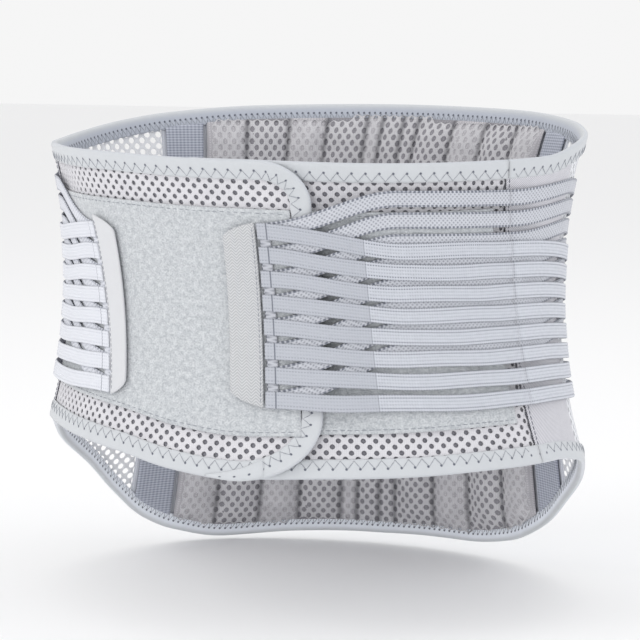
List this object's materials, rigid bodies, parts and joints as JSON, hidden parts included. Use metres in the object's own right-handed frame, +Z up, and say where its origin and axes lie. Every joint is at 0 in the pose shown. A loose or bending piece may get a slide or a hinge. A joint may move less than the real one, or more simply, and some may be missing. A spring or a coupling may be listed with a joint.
{
  "type": "lumbar support belt",
  "caption": "Waist belt with a tall padded back, two stretch wings that overlap at the front, elastic cross straps and grip tabs.",
  "frame": {"origin": "on the vertical line through the middle of the waist opening, a little under the middle of the front's height", "axes": "+Z up along the wearer's trunk, +Y towards the back centre, +X towards the side seam of the wing that lies underneath at the front"},
  "size_m": [0.3028, 0.263, 0.2636],
  "materials": {
    "back_panel": "plain knitted cloth",
    "back_lining": "padded mesh, quilted",
    "stay_1": "smooth moulded plastic strip",
    "stay_2": "smooth moulded plastic strip",
    "stay_3": "smooth moulded plastic strip",
    "stay_4": "smooth moulded plastic strip",
    "left_side_mesh": "knitted mesh with round holes",
    "right_side_mesh": "knitted mesh with round holes",
    "left_outer_tape": "woven twill tape",
    "right_outer_tape": "woven twill tape",
    "left_inner_tape": "woven twill tape",
    "right_inner_tape": "woven twill tape",
    "left_rear_straps": "ribbed woven elastic",
    "right_rear_straps": "ribbed woven elastic",
    "left_rear_under_straps": "ribbed woven elastic",
    "right_rear_under_straps": "ribbed woven elastic",
    "back_top_binding": "knitted binding tape with zigzag stitching",
    "back_bottom_binding": "knitted binding tape with zigzag stitching",
    "left_wing_mesh": "knitted mesh with round holes",
    "left_plush_panel": "short looped pile",
    "left_wing_binding": "knitted binding tape with zigzag stitching",
    "closure_hooks": "moulded hook tape",
    "right_wing_mesh": "knitted mesh with round holes",
    "right_plush_panel": "short looped pile",
    "right_wing_binding": "knitted binding tape with zigzag stitching",
    "left_strap_1": "ribbed woven elastic",
    "left_strap_2": "ribbed woven elastic",
    "left_strap_3": "ribbed woven elastic",
    "left_strap_4": "ribbed woven elastic",
    "left_strap_5": "ribbed woven elastic",
    "left_strap_6": "ribbed woven elastic",
    "left_strap_7": "ribbed woven elastic",
    "left_strap_8": "ribbed woven elastic",
    "left_under_straps": "ribbed woven elastic",
    "right_strap_1": "ribbed woven elastic",
    "right_strap_2": "ribbed woven elastic",
    "right_strap_3": "ribbed woven elastic",
    "right_strap_4": "ribbed woven elastic",
    "right_strap_5": "ribbed woven elastic",
    "right_strap_6": "ribbed woven elastic",
    "right_strap_7": "ribbed woven elastic",
    "right_strap_8": "ribbed woven elastic",
    "right_under_straps": "ribbed woven elastic",
    "left_tab": "stiff woven tab",
    "left_tab_hooks": "moulded hook tape",
    "right_tab": "stiff woven tab",
    "right_tab_hooks": "moulded hook tape"
  },
  "bodies": {
    "back": {"back_panel": "back_panel", "back_lining": "back_lining", "stay_1": "stay_1", "stay_2": "stay_2", "stay_3": "stay_3", "stay_4": "stay_4", "left_side_mesh": "left_side_mesh", "right_side_mesh": "right_side_mesh", "left_outer_tape": "left_outer_tape", "right_outer_tape": "right_outer_tape", "left_inner_tape": "left_inner_tape", "right_inner_tape": "right_inner_tape", "left_rear_straps": "left_rear_straps", "right_rear_straps": "right_rear_straps", "left_rear_under_straps": "left_rear_under_straps", "right_rear_under_straps": "right_rear_under_straps", "back_top_binding": "back_top_binding", "back_bottom_binding": "back_bottom_binding"},
    "left_wing": {"left_wing_mesh": "left_wing_mesh", "left_plush_panel": "left_plush_panel", "left_wing_binding": "left_wing_binding", "closure_hooks": "closure_hooks"},
    "right_wing": {"right_wing_mesh": "right_wing_mesh", "right_plush_panel": "right_plush_panel", "right_wing_binding": "right_wing_binding"},
    "left_pull": {"left_strap_1": "left_strap_1", "left_strap_2": "left_strap_2", "left_strap_3": "left_strap_3", "left_strap_4": "left_strap_4", "left_strap_5": "left_strap_5", "left_strap_6": "left_strap_6", "left_strap_7": "left_strap_7", "left_strap_8": "left_strap_8", "left_under_straps": "left_under_straps"},
    "right_pull": {"right_strap_1": "right_strap_1", "right_strap_2": "right_strap_2", "right_strap_3": "right_strap_3", "right_strap_4": "right_strap_4", "right_strap_5": "right_strap_5", "right_strap_6": "right_strap_6", "right_strap_7": "right_strap_7", "right_strap_8": "right_strap_8", "right_under_straps": "right_under_straps"},
    "left_tab": {"left_tab": "left_tab", "left_tab_hooks": "left_tab_hooks"},
    "right_tab": {"right_tab": "right_tab", "right_tab_hooks": "right_tab_hooks"}
  },
  "joints": [
    {"name": "left_wing_open", "type": "hinge", "parent": "back", "child": "left_wing", "pos_m": [-0.13728, -0.04875, 0.0075], "axis": [-0.0409, 0.0203, -0.999], "range_deg": [0, 50]},
    {"name": "right_wing_open", "type": "hinge", "parent": "back", "child": "right_wing", "pos_m": [0.1364, -0.04926, 0.0075], "axis": [-0.1002, -0.1254, 0.987], "range_deg": [0, 20]},
    {"name": "left_pull_swing", "type": "hinge", "parent": "left_wing", "child": "left_pull", "pos_m": [-0.13728, -0.04875, 0.0075], "axis": [-0.0409, 0.0203, -0.999], "range_deg": [0, 60]},
    {"name": "right_pull_swing", "type": "hinge", "parent": "right_wing", "child": "right_pull", "pos_m": [0.1364, -0.04926, 0.0075], "axis": [-0.1002, -0.1254, 0.987], "range_deg": [0, 105]},
    {"name": "left_tab_peel", "type": "hinge", "parent": "left_pull", "child": "left_tab", "pos_m": [-0.07764, -0.09933, 0.006], "axis": [0.1727, -0.124, -0.9771], "range_deg": [0, 75]},
    {"name": "right_tab_peel", "type": "hinge", "parent": "right_pull", "child": "right_tab", "pos_m": [0.01705, -0.11628, 0.007], "axis": [-0.0748, 0.0268, 0.9968], "range_deg": [0, 75]}
  ],
  "couplings": [
    {"joint": "right_wing_open", "follows": "left_wing_open", "ratio": 0.4},
    {"joint": "right_pull_swing", "follows": "left_wing_open", "ratio": 2.1}
  ]
}
